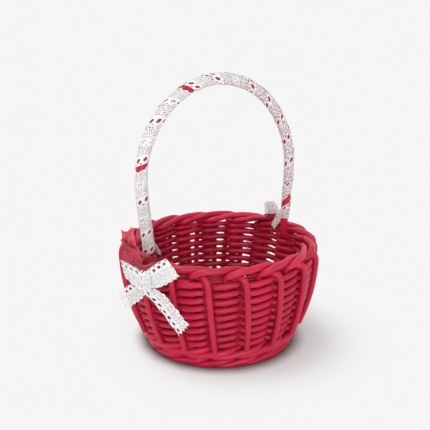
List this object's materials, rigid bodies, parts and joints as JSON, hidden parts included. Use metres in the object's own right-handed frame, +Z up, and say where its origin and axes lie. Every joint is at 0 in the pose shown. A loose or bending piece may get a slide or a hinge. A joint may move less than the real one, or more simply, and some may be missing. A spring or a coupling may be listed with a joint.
{
  "type": "willow basket",
  "caption": "Round red willow basket with a flared woven wall, stake border, waled foot, fixed arched handle bound with lace, and lace bows over taffeta ribbon at the rim.",
  "frame": {"origin": "on the ground at the middle of the foot", "axes": "+Z up; X along the span of the handle, with the handle's thick end at -X; Y square to the handle"},
  "size_m": [0.2302, 0.1992, 0.2701],
  "materials": {
    "painted_willow": "satin red paint on peeled willow",
    "lace": "white cotton eyelet lace",
    "taffeta": "red woven ribbon with a soft sheen"
  },
  "bodies": {
    "root": {"foot_rod_1": "painted_willow", "foot_rod_2": "painted_willow", "foot_rod_3": "painted_willow", "foot_rod_4": "painted_willow", "foot_rod_5": "painted_willow", "foot_rod_6": "painted_willow", "base_stick_1": "painted_willow", "base_stick_2": "painted_willow", "base_stick_3": "painted_willow", "base_stick_4": "painted_willow", "base_stick_5": "painted_willow", "base_stick_6": "painted_willow", "base_stick_7": "painted_willow", "base_stick_8": "painted_willow", "base_stick_9": "painted_willow", "base_tie": "painted_willow", "base_weaver_a": "painted_willow", "base_weaver_b": "painted_willow", "side_weaver_a1": "painted_willow", "side_weaver_a2": "painted_willow", "side_weaver_a3": "painted_willow", "side_weaver_b1": "painted_willow", "side_weaver_b2": "painted_willow", "side_weaver_b3": "painted_willow", "stake_01": "painted_willow", "stake_02": "painted_willow", "stake_03": "painted_willow", "stake_04": "painted_willow", "stake_05": "painted_willow", "stake_06": "painted_willow", "stake_07": "painted_willow", "stake_08": "painted_willow", "stake_09": "painted_willow", "stake_10": "painted_willow", "stake_11": "painted_willow", "stake_12": "painted_willow", "stake_13": "painted_willow", "stake_14": "painted_willow", "stake_15": "painted_willow", "stake_16": "painted_willow", "stake_17": "painted_willow", "stake_18": "painted_willow", "handle": "painted_willow", "lace_winding": "lace", "lace_bow_near": "lace", "lace_bow_far": "lace", "ribbon_near": "taffeta", "ribbon_far": "taffeta"}
  },
  "joints": []
}
